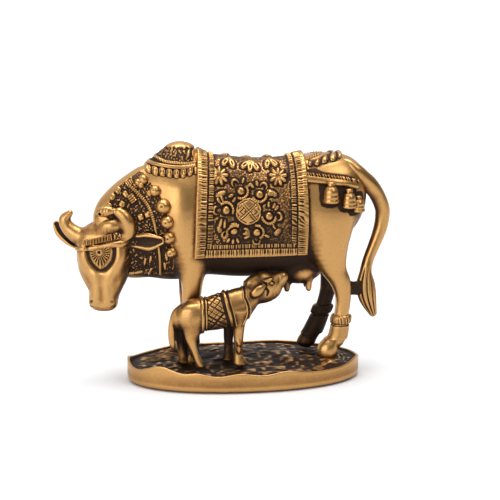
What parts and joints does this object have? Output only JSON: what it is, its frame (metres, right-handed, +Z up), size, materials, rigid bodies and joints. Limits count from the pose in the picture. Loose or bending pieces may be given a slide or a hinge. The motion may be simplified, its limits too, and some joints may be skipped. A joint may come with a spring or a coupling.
{
  "type": "cow and calf statue",
  "caption": "Small cast brass figure of a humped cow in festival harness standing over her suckling calf on an oval ground.",
  "frame": {"origin": "centre of the flat underside of the oval ground", "axes": "+Z up; the cow looks along -X; the calf stands on the -Y side, at her left flank"},
  "size_m": [0.1528, 0.056, 0.1078],
  "materials": {
    "antique_brass": "satin polished on the high places, dark brown patina in the recesses"
  },
  "bodies": {
    "root": {"cow_and_calf_casting": "antique_brass"}
  },
  "joints": []
}
